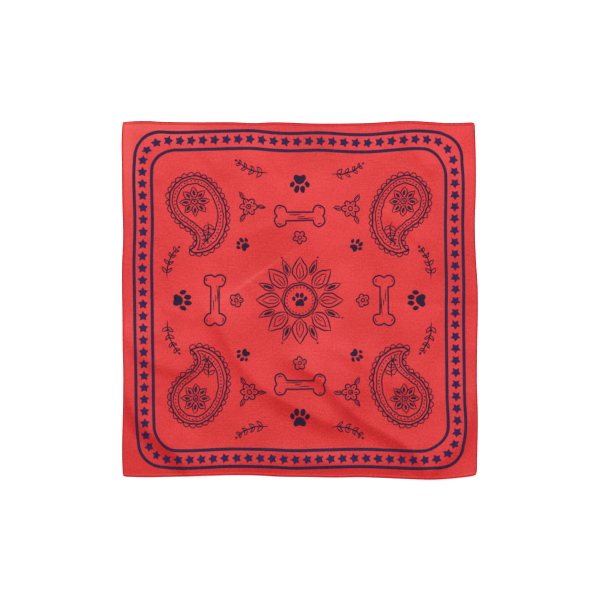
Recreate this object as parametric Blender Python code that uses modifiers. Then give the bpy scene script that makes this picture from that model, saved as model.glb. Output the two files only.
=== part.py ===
"""Square cotton dog scarf, laid flat.

One square of thin cloth lies on a surface at z = 0, printed side up. Four narrow turned hems
run along its edges. Soft folds cross the cloth, mostly in its lower half, and lift it a few
millimetres; everywhere else its underside is flat on the surface.

Units are metres, +Z is up, and +Y is the scarf's upper edge. The origin is the middle of the
scarf, at the height of the surface that it lies on.
"""

from collections import namedtuple

import bmesh
import bpy
import numpy as np
from mathutils import Vector

MM = 0.001

# Driving dimensions
SCARF_SIDE = 530 * MM
CLOTH_WALL = 1.2 * MM
HEM_WIDTH = 4.0 * MM
HEM_WALL = 2.0 * MM
SEAM_GAP = 0.3 * MM

HALF_SIDE = SCARF_SIDE / 2
HEM_INSET = HEM_WIDTH + SEAM_GAP

# Cells of cloth between neighbouring grid lines. The lower half holds the folds.
COLUMNS = 48
ROWS_BELOW_MIDDLE = 30
ROWS_ABOVE_MIDDLE = 19

# Share of a fold's length over which it dies away, at each of its ends
FOLD_TAPER = 0.2
# How round a fold is over its crest
CREST_ROUND = 4.0 * MM
# Straight pieces between two points of a fold's route
ROUTE_STEPS = 8
# Distance to either side at which the cloth's slope is measured
SLOPE_STEP = 0.5 * MM
# A hem's edges that turn more than this are sharp
HEM_CORNER = np.radians(50)

# The outer edge of the scarf, in millimetres: `along` is the place on that side, from the
# middle, and `out` is how far the edge lies from the scarf's centre line there.
EdgePoint = namedtuple("EdgePoint", "along out")
EDGES = {
    "left": (
        EdgePoint(-263, 265.0), EdgePoint(-236, 265.9), EdgePoint(-183, 265.2),
        EdgePoint(-147, 264.2), EdgePoint(-111, 263.9), EdgePoint(-75, 264.9),
        EdgePoint(-21, 265.5), EdgePoint(50, 266.1), EdgePoint(95, 264.4),
        EdgePoint(140, 265.5), EdgePoint(194, 266.1), EdgePoint(247, 266.3),
        EdgePoint(265, 264.9),
    ),
    "right": (
        EdgePoint(-263, 264.6), EdgePoint(-237, 265.1), EdgePoint(-183, 266.1),
        EdgePoint(-120, 264.8), EdgePoint(-75, 265.2), EdgePoint(-3, 266.3),
        EdgePoint(15, 266.1), EdgePoint(68, 263.1), EdgePoint(113, 261.8),
        EdgePoint(158, 263.1), EdgePoint(194, 263.4), EdgePoint(247, 262.2),
        EdgePoint(265, 261.4),
    ),
    "bottom": (
        EdgePoint(-262, 263.9), EdgePoint(-235, 264.7), EdgePoint(-190, 264.0),
        EdgePoint(-136, 262.2), EdgePoint(-92, 261.4), EdgePoint(-65, 261.9),
        EdgePoint(-29, 263.8), EdgePoint(7, 264.3), EdgePoint(61, 265.1),
        EdgePoint(88, 264.6), EdgePoint(132, 266.1), EdgePoint(177, 267.8),
        EdgePoint(204, 267.9), EdgePoint(240, 265.0), EdgePoint(262, 262.4),
    ),
    "top": (
        EdgePoint(-262, 266.7), EdgePoint(-235, 268.2), EdgePoint(-208, 267.0),
        EdgePoint(-154, 266.2), EdgePoint(-101, 266.3), EdgePoint(-65, 265.2),
        EdgePoint(-47, 266.0), EdgePoint(25, 264.4), EdgePoint(96, 264.9),
        EdgePoint(168, 268.1), EdgePoint(231, 265.1), EdgePoint(262, 266.1),
    ),
}

# The folds, in millimetres. `route` is the line of the crest. Walking from its first point,
# `right` is how far the fold reaches on the right hand and `left` on the left; the short side
# is the steep one. `rise` is the height of the crest.
Fold = namedtuple("Fold", "name rise right left route")
FOLDS = (
    Fold("middle_diagonal", 4.1, 25, 190,
         ((-152, 10), (-139, -14), (-118, -41), (-91, -92), (-67, -120), (-34, -144), (6, -165),
          (50, -186), (92, -206))),
    Fold("right_diagonal", 4.2, 19, 225,
         ((-34, -72), (4, -100), (35, -121), (66, -155), (95, -180), (125, -197), (157, -216),
          (183, -244), (192, -278), (197, -330))),
    Fold("left_corner", 5.1, 21, 230,
         ((-316, -54), (-292, -90), (-264, -129), (-244, -173), (-223, -197), (-189, -226),
          (-168, -252), (-154, -290), (-148, -320))),
    Fold("left_edge_crease", 1.4, 16, 60,
         ((-290, -26), (-262, -52), (-240, -79), (-221, -94), (-194, -102), (-150, -114))),
    Fold("right_corner", 2.0, 150, 17,
         ((280, -108), (266, -138), (253, -176), (240, -212), (221, -232), (199, -250),
          (178, -288))),
    Fold("lower_edge", 1.5, 20, 50,
         ((-230, -243), (-130, -244), (-50, -245), (40, -245), (120, -246), (215, -248))),
    Fold("small_diagonal", 0.9, 15, 50,
         ((44, -68), (78, -88), (108, -106), (134, -126), (156, -158))),
    Fold("upper_right_crease", 1.0, 15, 45,
         ((148, 290), (154, 258), (165, 233), (188, 202), (206, 182))),
    Fold("upper_left_lift", 1.5, 30, 30,
         ((-268, 150), (-268, 200), (-266, 246), (-246, 268), (-210, 272), (-170, 272))),
    Fold("lower_right_lift", 1.1, 26, 26,
         ((282, -200), (272, -246), (250, -270), (215, -284))),
)

# The hem's cross-section, in millimetres: `inward` from the scarf's outer edge and `up` from
# the cloth's underside. It is flat below and against the panel, and round at the outer edge.
SectionPoint = namedtuple("SectionPoint", "inward up")
HEM_SECTION = (
    SectionPoint(0.6, 0.0), SectionPoint(4.0, 0.0), SectionPoint(4.0, 1.6), SectionPoint(3.5, 2.0),
    SectionPoint(1.0, 2.0), SectionPoint(0.25, 1.6), SectionPoint(0.0, 1.0), SectionPoint(0.2, 0.35),
)

# Finish: name, colour as linear RGB, roughness
Finish = namedtuple("Finish", "name colour roughness")
RED_COTTON = Finish("printed_red_cotton", (0.60, 0.030, 0.035), 0.85)
RED_HEM = Finish("turned_red_hem", (0.60, 0.030, 0.042), 0.85)


def clear_scene():
    """Take every object out of the scene."""
    for thing in list(bpy.data.objects):
        bpy.data.objects.remove(thing)


def new_collection(name):
    """A collection of that name, linked to the scene."""
    collection = bpy.data.collections.new(name)
    bpy.context.scene.collection.children.link(collection)
    return collection


def cloth_material(finish):
    """A matt cloth material, with no metallic part."""
    material = bpy.data.materials.new(finish.name)
    material.use_nodes = True
    shader = material.node_tree.nodes["Principled BSDF"]
    shader.inputs["Base Color"].default_value = (*finish.colour, 1.0)
    shader.inputs["Roughness"].default_value = finish.roughness
    shader.inputs["Metallic"].default_value = 0.0
    return material


def edge_distance(side, along):
    """How far the scarf's outer edge lies from its centre line, at places along one side.

    A smooth curve runs through the side's points; beyond the last point the edge keeps its value.
    """
    places = np.array([point.along for point in EDGES[side]]) * MM
    values = np.array([point.out for point in EDGES[side]]) * MM
    slopes = np.gradient(values, places)
    along = np.clip(along, places[0], places[-1])
    i = np.clip(np.searchsorted(places, along) - 1, 0, len(places) - 2)
    span = places[i + 1] - places[i]
    t = (along - places[i]) / span
    start = (1 + 2 * t) * (1 - t) ** 2 * values[i] + t * (1 - t) ** 2 * span * slopes[i]
    end = t * t * (3 - 2 * t) * values[i + 1] - t * t * (1 - t) * span * slopes[i + 1]
    return start + end


def plan_position(u, v):
    """Plan x and y of the cloth at u, v, which run from -1 to 1 between its outer edges."""
    reach_x = np.where(u < 0, edge_distance("left", v * HALF_SIDE),
                       edge_distance("right", v * HALF_SIDE))
    reach_y = np.where(v < 0, edge_distance("bottom", u * HALF_SIDE),
                       edge_distance("top", u * HALF_SIDE))
    return u * reach_x, v * reach_y


def smooth_route(points):
    """Points on a Catmull-Rom curve through a fold's route, in metres."""
    knots = np.array(points, dtype=float) * MM
    knots = np.vstack([2 * knots[0] - knots[1], knots, 2 * knots[-1] - knots[-2]])
    curve = []
    for a, b, c, d in zip(knots, knots[1:], knots[2:], knots[3:]):
        for t in np.arange(ROUTE_STEPS) / ROUTE_STEPS:
            curve.append(0.5 * (2 * b + (c - a) * t + (2 * a - 5 * b + 4 * c - d) * t ** 2
                                + (3 * b - a - 3 * c + d) * t ** 3))
    curve.append(knots[-2])
    return np.array(curve)


def distance_from_route(route, x, y):
    """Distance of plan points from a route, with their side and their share of its length.

    The distance is positive on the left hand of someone who walks from the route's first point.
    """
    lengths = np.linalg.norm(np.diff(route, axis=0), axis=1)
    starts = np.concatenate([[0.0], np.cumsum(lengths)])
    nearest = np.full(x.shape, np.inf)
    signed = np.zeros(x.shape)
    share = np.zeros(x.shape)
    for (ax, ay), (bx, by), length, start in zip(route, route[1:], lengths, starts):
        step_x, step_y = (bx - ax) / length, (by - ay) / length
        walked = np.clip((x - ax) * step_x + (y - ay) * step_y, 0, length)
        off_x, off_y = x - ax - step_x * walked, y - ay - step_y * walked
        distance = np.hypot(off_x, off_y)
        closer = distance < nearest
        nearest = np.where(closer, distance, nearest)
        hand = np.where(step_x * off_y - step_y * off_x < 0, -1.0, 1.0)
        signed = np.where(closer, hand * distance, signed)
        share = np.where(closer, (start + walked) / starts[-1], share)
    return signed, share


def smooth_step(t):
    """An S-shaped rise from 0 to 1 as t goes from 0 to 1."""
    t = np.clip(t, 0, 1)
    return t * t * (3 - 2 * t)


def fold_height(x, y):
    """How far the folds lift the cloth's underside off the surface, at plan points."""
    height = np.zeros(np.shape(x))
    for fold in FOLDS:
        signed, share = distance_from_route(smooth_route(fold.route), x, y)
        reach = np.where(signed > 0, fold.left, fold.right) * MM
        off_crest = np.hypot(signed, CREST_ROUND) - CREST_ROUND
        crest = (1 - np.clip(off_crest / reach, 0, 1)) ** 2
        taper = smooth_step(np.minimum(share, 1 - share) / FOLD_TAPER)
        height += fold.rise * MM * crest * taper
    return height


def cloth_points(u, v, up):
    """Points of the cloth at u, v, a distance `up` above its underside, square to the cloth."""
    x, y = plan_position(u, v)
    z = fold_height(x, y)
    slope_x = (fold_height(x + SLOPE_STEP, y) - fold_height(x - SLOPE_STEP, y)) / (2 * SLOPE_STEP)
    slope_y = (fold_height(x, y + SLOPE_STEP) - fold_height(x, y - SLOPE_STEP)) / (2 * SLOPE_STEP)
    steepness = np.sqrt(1 + slope_x ** 2 + slope_y ** 2)
    return np.stack([x - up * slope_x / steepness, y - up * slope_y / steepness,
                     z + up / steepness], axis=-1)


def link_mesh(name, mesh_builder, finish, collection):
    """An object made from a bmesh, with its material, in the scarf's collection."""
    mesh = bpy.data.meshes.new(name)
    mesh_builder.to_mesh(mesh)
    mesh_builder.free()
    mesh.materials.append(cloth_material(finish))
    thing = bpy.data.objects.new(name, mesh)
    collection.objects.link(thing)
    return thing


def build_panel(collection):
    """The square of cloth inside the hems: a folded sheet, thickened upwards."""
    inner = 1 - HEM_INSET / HALF_SIDE
    columns = np.linspace(-inner, inner, COLUMNS + 1)
    rows = np.concatenate([np.linspace(-inner, 0, ROWS_BELOW_MIDDLE + 1),
                           np.linspace(0, inner, ROWS_ABOVE_MIDDLE + 1)[1:]])
    u, v = np.meshgrid(columns, rows)
    sheet = bmesh.new()
    bmesh.ops.create_grid(sheet, x_segments=len(columns) - 1, y_segments=len(rows) - 1, size=1.0)
    sheet.verts.ensure_lookup_table()
    order = sorted(sheet.verts, key=lambda vert: (round(vert.co.y, 4), round(vert.co.x, 4)))
    for vert, place in zip(order, cloth_points(u, v, 0.0).reshape(-1, 3)):
        vert.co = Vector(place)
    panel = link_mesh("panel", sheet, RED_COTTON, collection)
    wall = panel.modifiers.new("cloth_wall", "SOLIDIFY")
    wall.thickness = CLOTH_WALL
    wall.offset = 1.0
    panel.data.shade_smooth()
    return panel


def loft(rings):
    """A closed body through equal rings of points, capped at its first and last ring."""
    body = bmesh.new()
    loops = [[body.verts.new(Vector(point)) for point in ring] for ring in rings]
    for loop, following in zip(loops, loops[1:]):
        for i in range(len(loop)):
            j = (i + 1) % len(loop)
            body.faces.new((loop[i], loop[j], following[j], following[i]))
    body.faces.new(loops[0])
    body.faces.new(reversed(loops[-1]))
    bmesh.ops.recalc_face_normals(body, faces=body.faces)
    return body


def build_hem(side, collection):
    """One turned hem: its cross-section swept along that side of the cloth."""
    runs_across = side in ("top", "bottom")
    end = 1.0 if runs_across else 1 - HEM_INSET / HALF_SIDE
    sign = 1.0 if side in ("top", "right") else -1.0
    inward = np.array([point.inward for point in HEM_SECTION]) * MM
    up = np.array([point.up for point in HEM_SECTION]) * MM
    along, across = np.meshgrid(np.linspace(-end, end, COLUMNS + 1),
                                sign * (1 - inward / HALF_SIDE), indexing="ij")
    u, v = (along, across) if runs_across else (across, along)
    hem = link_mesh(f"hem_{side}", loft(cloth_points(u, v, up)), RED_HEM, collection)
    hem.data.shade_smooth()
    hem.data.set_sharp_from_angle(angle=HEM_CORNER)
    return hem


def build_scarf():
    """The panel and its four hems."""
    clear_scene()
    collection = new_collection("dog_scarf")
    build_panel(collection)
    for side in EDGES:
        build_hem(side, collection)


build_scarf()
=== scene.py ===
"""The looks of a square cotton dog scarf that lies flat, printed side up.

The cloth is a thin shell that carries the scarf's folds, packing creases and small rumples. Four
turned hems close its edges, each with a row of stitches. The print is a thin film of navy ink
laid on the cloth: a border of stars between two lines, and paisleys, bones, paw prints, flowers
and sprigs in the middle. Lengths are in metres, except in the tables and the motifs, which say
millimetres; +Z is up and +Y is the scarf's upper edge.
"""

import logging
import math
from dataclasses import dataclass, field
from enum import Enum
from typing import Iterable, NamedTuple, Sequence

import bpy
import numpy as np
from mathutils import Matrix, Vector
from mathutils.bvhtree import BVHTree


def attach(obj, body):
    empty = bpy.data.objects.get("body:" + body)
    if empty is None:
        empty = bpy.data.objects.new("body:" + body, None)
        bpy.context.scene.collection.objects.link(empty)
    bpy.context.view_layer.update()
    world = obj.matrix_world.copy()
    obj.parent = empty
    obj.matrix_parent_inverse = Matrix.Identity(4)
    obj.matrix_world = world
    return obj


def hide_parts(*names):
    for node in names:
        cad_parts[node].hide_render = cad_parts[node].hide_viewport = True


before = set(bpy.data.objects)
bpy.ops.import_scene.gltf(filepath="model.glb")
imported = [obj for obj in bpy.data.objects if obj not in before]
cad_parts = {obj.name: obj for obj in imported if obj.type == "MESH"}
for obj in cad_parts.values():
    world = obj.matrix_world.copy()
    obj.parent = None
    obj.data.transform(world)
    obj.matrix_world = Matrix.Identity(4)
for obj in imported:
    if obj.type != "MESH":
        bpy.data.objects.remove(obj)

Array = np.ndarray
Colour = tuple[float, float, float]
LOG = logging.getLogger("dog_scarf")

MM = 0.001
BODY = "root"

SCARF_SIDE = 530 * MM
HALF_SIDE = SCARF_SIDE / 2
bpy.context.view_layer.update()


# ---------------------------------------------------------------------------------------------
# The form of the cloth
# ---------------------------------------------------------------------------------------------


class Side(Enum):
    """The four sides of the scarf, as seen from above."""

    LEFT = "left"
    RIGHT = "right"
    BOTTOM = "bottom"
    TOP = "top"

    @property
    def runs_across(self) -> bool:
        """Whether the side runs from left to right."""
        return self in (Side.BOTTOM, Side.TOP)

    @property
    def sign(self) -> float:
        """The sign of the side's own axis: 1 for right and top, -1 for left and bottom."""
        return 1.0 if self in (Side.RIGHT, Side.TOP) else -1.0


class EdgePoint(NamedTuple):
    """A place along one side and how far the edge lies from the centre line, in millimetres."""

    along: float
    out: float


class Slip(NamedTuple):
    """A place along one side and how far the print is pulled along that side, in millimetres."""

    along: float
    by: float


def edge_rows(*rows: tuple[float, float]) -> tuple[EdgePoint, ...]:
    """The points of one side, each given as its `along` and `out`."""
    return tuple(EdgePoint(*row) for row in rows)


def slip_rows(*rows: tuple[float, float]) -> tuple[Slip, ...]:
    """The slips of one side, each given as its `along` and `by`."""
    return tuple(Slip(*row) for row in rows)


class Fold(NamedTuple):
    """A fold or crease, in millimetres, along a crest walked from its first point.

    `right` and `left` are its reach on either hand, and a negative `rise` makes it a trough.
    """

    name: str
    rise: float
    right: float
    left: float
    route: tuple[tuple[float, float], ...]


# How far the cloth's edges lie out: most rows as measured in the photo, some corrected since
CLOTH_EDGES = {
    Side.LEFT: edge_rows(
        (-263, 265.0), (-236, 265.9), (-183, 265.2), (-147, 264.2), (-111, 263.9), (-75, 264.9),
        (-21, 265.5), (50, 266.1), (95, 264.4), (140, 265.5), (194, 266.1), (247, 266.3),
        (265, 264.9)),
    Side.RIGHT: edge_rows(
        (-263, 264.6), (-237, 265.1), (-183, 266.1), (-120, 264.8), (-75, 265.2), (-3, 266.3),
        (15, 266.1), (68, 263.1), (113, 261.8), (158, 263.1), (194, 263.4), (247, 262.2),
        (265, 261.4)),
    Side.BOTTOM: edge_rows(
        (-262, 263.9), (-235, 264.7), (-190, 264.0), (-136, 262.2), (-92, 261.4), (-65, 261.9),
        (-29, 263.8), (7, 264.3), (61, 265.1), (88, 264.6), (132, 266.1), (177, 267.8),
        (204, 267.9), (240, 265.0), (262, 262.4)),
    Side.TOP: edge_rows(
        (-262, 266.7), (-235, 268.2), (-208, 267.0), (-154, 266.2), (-101, 266.3), (-65, 265.2),
        (-47, 266.0), (25, 264.4), (96, 264.9), (168, 268.1), (231, 265.1), (262, 266.1)),
}


class Corner(NamedTuple):
    """How one corner is drawn in along its diagonal: how far and within what distance, in mm."""

    right: int
    up: int
    pull: float
    reach: float


CORNERS = (Corner(-1, -1, 1.7, 8.0), Corner(1, -1, 2.4, 11.0), Corner(1, 1, 1.6, 6.0),
           Corner(-1, 1, 0.8, 5.0))

# Where the row of stars lies, from measured stars: the print isn't quite square on the cloth
PRINT_EDGES = {
    Side.LEFT: edge_rows(
        (-216, 228.8), (-202, 230.2), (-167, 231.8), (-113, 232.4), (-60, 233.6), (12, 234.6),
        (52, 235.2), (102, 234.0), (208, 234.3), (222, 233.0)),
    Side.RIGHT: edge_rows(
        (-216, 231.4), (-198, 234.4), (-143, 233.4), (-90, 232.9), (-19, 232.2), (16, 232.5),
        (70, 231.6), (122, 231.0), (157, 231.6), (192, 231.1), (208, 229.8)),
    Side.BOTTOM: edge_rows(
        (-214, 236.0), (-199, 237.6), (-180, 238.4), (-147, 237.6), (-112, 235.9), (-77, 235.8),
        (-42, 236.8), (-6, 238.4), (29, 237.6), (99, 236.2), (135, 237.4), (180, 238.9),
        (205, 238.0)),
    Side.TOP: edge_rows(
        (-214, 239.0), (-197, 238.1), (-145, 239.0), (-92, 240.4), (-75, 240.6), (-39, 237.6),
        (-22, 236.7), (31, 237.6), (84, 234.9), (102, 234.9), (137, 237.6), (173, 240.2),
        (200, 239.0), (221, 235.7)),
}

# How far the row of stars is pulled along each side, to the right or up, from the same stars
PRINT_SLIPS = {
    Side.LEFT: slip_rows(
        (-201, 0.4), (-149, 1.4), (-95, 1.2), (-6, 2.7), (66, 3.1), (120, 4.3), (174, 4.4),
        (208, 3.6)),
    Side.RIGHT: slip_rows(
        (-197, -2.1), (-143, -1.5), (-71, -0.8), (17, -1.1), (87, -1.1), (139, -1.0),
        (193, -1.3)),
    Side.BOTTOM: slip_rows(
        (-198, -2.9), (-148, -3.1), (-24, -2.0), (64, -2.1), (152, -1.7), (205, -2.8)),
    Side.TOP: slip_rows(
        (-197, 2.7), (-150, 1.1), (-74, 0.7), (14, 0.0), (102, 0.6), (160, 1.8), (206, 1.3)),
}

# The large folds, which the solid panel has too
FOLDS = (
    Fold("middle_diagonal", 4.1, 25, 190,
         ((-152, 10), (-139, -14), (-118, -41), (-91, -92), (-67, -120), (-34, -144), (6, -165),
          (50, -186), (92, -206))),
    Fold("right_diagonal", 4.2, 19, 225,
         ((-34, -72), (4, -100), (35, -121), (66, -155), (95, -180), (125, -197), (157, -216),
          (183, -244), (192, -278), (197, -330))),
    Fold("left_corner", 5.1, 21, 230,
         ((-316, -54), (-292, -90), (-264, -129), (-244, -173), (-223, -197), (-189, -226),
          (-168, -252), (-154, -290), (-148, -320))),
    Fold("left_edge_crease", 1.4, 16, 60,
         ((-290, -26), (-262, -52), (-240, -79), (-221, -94), (-194, -102), (-150, -114))),
    Fold("right_corner", 2.0, 150, 17,
         ((280, -108), (266, -138), (253, -176), (240, -212), (221, -232), (199, -250),
          (178, -288))),
    Fold("lower_edge", 1.5, 20, 50,
         ((-230, -243), (-130, -244), (-50, -245), (40, -245), (120, -246), (215, -248))),
    Fold("small_diagonal", 0.9, 15, 50,
         ((44, -68), (78, -88), (108, -106), (134, -126), (156, -158))),
    Fold("upper_right_crease", 1.0, 15, 45,
         ((148, 290), (154, 258), (165, 233), (188, 202), (206, 182))),
    Fold("upper_left_lift", 1.5, 30, 30,
         ((-268, 150), (-268, 200), (-266, 246), (-246, 268), (-210, 272), (-170, 272))),
    Fold("lower_right_lift", 1.1, 26, 26,
         ((282, -200), (272, -246), (250, -270), (215, -284))),
)

# Packing creases and small rumples, which the solid panel leaves out
CREASES = (
    Fold("packing_crease_down", 0.4, 7, 7,
         ((-9, 330), (-9, 250), (-8, 190), (-8, 130), (-5, 60))),
    Fold("packing_crease_across", -0.2, 8, 8,
         ((110, 2), (160, -4), (210, -7), (290, -6))),
    Fold("middle_crease", 0.35, 12, 30,
         ((4, 170), (0, 146), (-16, 128), (-42, 112), (-76, 100), (-108, 92))),
    Fold("middle_crease_down", 0.4, 11, 26,
         ((-92, 38), (-74, 18), (-52, -2), (-34, -22), (-14, -44))),
    Fold("middle_hook", 0.3, 10, 18,
         ((-14, -14), (10, -4), (34, 2), (46, 16), (50, 36))),
    Fold("right_crease", 0.6, 13, 34,
         ((118, 134), (138, 120), (158, 106), (176, 90), (186, 66))),
    Fold("right_ripple", 0.35, 10, 22,
         ((212, 222), (222, 198), (228, 168), (230, 140))),
    Fold("lower_ripple", 0.5, 12, 30,
         ((76, -66), (110, -88), (134, -112), (152, -132), (170, -138))),
    Fold("left_ripple", 0.5, 12, 26,
         ((-222, -40), (-206, -58), (-186, -70), (-160, -76))),
    Fold("left_upper_ripple", 0.35, 10, 24,
         ((-216, 0), (-196, -14), (-170, -26), (-146, -34))),
    Fold("lower_left_ripple", 0.55, 12, 26,
         ((-214, -134), (-200, -152), (-184, -162), (-160, -168))),
    Fold("upper_left_ripple", 0.35, 11, 26,
         ((-158, 232), (-140, 214), (-120, 196), (-108, 176))),
    Fold("upper_left_margin", 0.45, 9, 22,
         ((-232, 236), (-222, 214), (-214, 192), (-210, 170))),
    Fold("lower_edge_ripple", 0.7, 14, 24,
         ((-58, -220), (-22, -226), (14, -236), (56, -244), (88, -256))),
)


def read_table(table: Sequence[tuple[float, float]], along: Array) -> Array:
    """Reads a table of places and values, both in millimetres, on a smooth curve through it.

    Args:
        table: rows of a place and its value, in order of place.
        along: the places to read at, in metres.

    Returns:
        The values in metres, level past the table's ends.
    """
    places, values = np.array(table).T * MM
    slopes = np.gradient(values, places)
    along = np.clip(along, places[0], places[-1])
    i = np.clip(np.searchsorted(places, along) - 1, 0, len(places) - 2)
    span = places[i + 1] - places[i]
    t = (along - places[i]) / span
    start = (1 + 2 * t) * (1 - t) ** 2 * values[i] + t * (1 - t) ** 2 * span * slopes[i]
    end = t * t * (3 - 2 * t) * values[i + 1] - t * t * (1 - t) * span * slopes[i + 1]
    return start + end


@dataclass(frozen=True)
class SquareMap:
    """Places u, v between -1 and 1 on a nearly square shape whose sides wander."""

    edges: dict[Side, tuple[EdgePoint, ...]]
    slips: dict[Side, tuple[Slip, ...]] = field(default_factory=dict)
    half_width: float = HALF_SIDE
    half_height: float = HALF_SIDE
    slip_start: float = 0.75
    corner_start: float = 0.88

    def plan(self, u: Array, v: Array) -> tuple[Array, Array]:
        """Plan x and y, in metres, of the places u, v.

        Args:
            u: places from left to right.
            v: places from bottom to top.

        Returns:
            Plan x and y, in metres.
        """
        across, up = u * self.half_width, v * self.half_height
        reach_x, reach_y = self.reach(across, up)
        x, y = u * reach_x, v * reach_y
        if self.slips:
            x = x + self.slip(Side.BOTTOM, Side.TOP, across, u, v)
            y = y + self.slip(Side.LEFT, Side.RIGHT, up, v, u)
        return x, y

    def slip(self, low: Side, high: Side, place: Array, along: Array, across: Array) -> Array:
        """How far places near two opposite sides are pulled along the nearer one.

        Args:
            low: the side where `across` is -1.
            high: the side where `across` is 1.
            place: the place along the side, in metres.
            along: the same place as a share of half the side; nothing is pulled past a corner.
            across: the share of the way from the middle to the side.

        Returns:
            The pull, in metres.
        """
        near = smooth_step((np.abs(across) - self.slip_start) / (1 - self.slip_start))
        past = smooth_step((np.abs(along) - self.corner_start) / (1 - self.corner_start))
        pulled = np.where(across < 0, read_table(self.slips[low], place),
                          read_table(self.slips[high], place))
        return near * (1 - past) * pulled

    def flat(self, x: Array, y: Array) -> tuple[Array, Array]:
        """The places u, v at plan x and y, where nothing slips: nearly the inverse of plan."""
        reach_x, reach_y = self.reach(x, y)
        return x / reach_x, y / reach_y

    def reach(self, x: Array, y: Array) -> tuple[Array, Array]:
        """How far the nearer upright side and the nearer level side lie out, beside x and y."""
        return (self.pick(Side.LEFT, Side.RIGHT, x, y), self.pick(Side.BOTTOM, Side.TOP, y, x))

    def pick(self, low: Side, high: Side, across: Array, along: Array) -> Array:
        """The edge table's value at `along`, of the side that `across` lies towards."""
        return np.where(across < 0, read_table(self.edges[low], along),
                        read_table(self.edges[high], along))


def smooth_step(t: Array) -> Array:
    """An S-shaped rise from 0 to 1 as t goes from 0 to 1."""
    t = np.clip(t, 0, 1)
    return t * t * (3 - 2 * t)


def smooth_curve(points: Iterable[Sequence[float]], steps: int) -> Array:
    """A Catmull-Rom curve through points.

    Args:
        points: the points in order, in any unit.
        steps: how many pieces each stretch between two points is cut into.

    Returns:
        The curve's points, the first and last of which are the given ones.
    """
    knots = np.array(list(points), dtype=float)
    knots = np.vstack([2 * knots[0] - knots[1], knots, 2 * knots[-1] - knots[-2]])
    curve = []
    for a, b, c, d in zip(knots, knots[1:], knots[2:], knots[3:]):
        for t in np.arange(steps) / steps:
            curve.append(0.5 * (2 * b + (c - a) * t + (2 * a - 5 * b + 4 * c - d) * t ** 2
                                + (3 * b - a - 3 * c + d) * t ** 3))
    curve.append(knots[-2])
    return np.array(curve)


def value_noise(x: Array, y: Array, cell: float, seed: int) -> Array:
    """Smooth random heights between -1 and 1.

    Args:
        x: plan x in metres.
        y: plan y in metres.
        cell: the spacing of the random values, in metres.
        seed: the seed of the random values.

    Returns:
        The noise at each point.
    """
    cells = int(2 * SCARF_SIDE / cell) + 2
    grid = np.random.default_rng(seed).uniform(-1, 1, (cells, cells))
    across = (x + SCARF_SIDE) / cell
    down = (y + SCARF_SIDE) / cell
    i = np.clip(across.astype(int), 0, cells - 2)
    j = np.clip(down.astype(int), 0, cells - 2)
    s, t = smooth_step(across - i), smooth_step(down - j)
    return ((1 - s) * (1 - t) * grid[i, j] + s * (1 - t) * grid[i + 1, j]
            + (1 - s) * t * grid[i, j + 1] + s * t * grid[i + 1, j + 1])


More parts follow.
